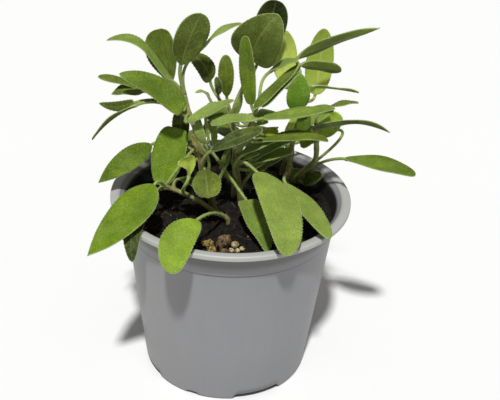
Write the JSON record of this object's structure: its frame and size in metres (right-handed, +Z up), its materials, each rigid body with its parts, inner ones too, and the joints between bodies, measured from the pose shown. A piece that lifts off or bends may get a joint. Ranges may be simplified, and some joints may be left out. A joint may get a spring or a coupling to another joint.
{
  "type": "potted sage",
  "caption": "Young culinary sage plant with soft oval leaves on several leafy stems, standing in soil in a round tapered nursery pot.",
  "frame": {"origin": "middle of the pot's flat underside", "axes": "+Z up along the pot's axis, -Y the front that the picture shows, +X to the right seen from the front"},
  "size_m": [0.1556, 0.1386, 0.1947],
  "materials": {
    "pot_plastic": "satin moulded grey plastic",
    "potting_soil": "moist crumbly peat soil",
    "bark": "rough bark",
    "crumb": "rough wood fibre",
    "grit": "dull porous grit",
    "sage_leaf": "soft finely haired leaf"
  },
  "bodies": {
    "root": {"pot": "pot_plastic", "soil": "potting_soil", "bark_chip": "bark", "bark_sliver": "bark", "crumb_left": "crumb", "crumb_front": "crumb", "pebble": "grit", "grain_left": "grit", "grain_middle": "grit", "grain_right": "grit", "low_stem": "sage_leaf", "left_stem": "sage_leaf", "centre_stem": "sage_leaf", "back_stem": "sage_leaf", "tall_stem": "sage_leaf", "right_stem": "sage_leaf", "rear_stem": "sage_leaf", "rear_left_stem": "sage_leaf", "rear_right_stem": "sage_leaf"}
  },
  "joints": []
}
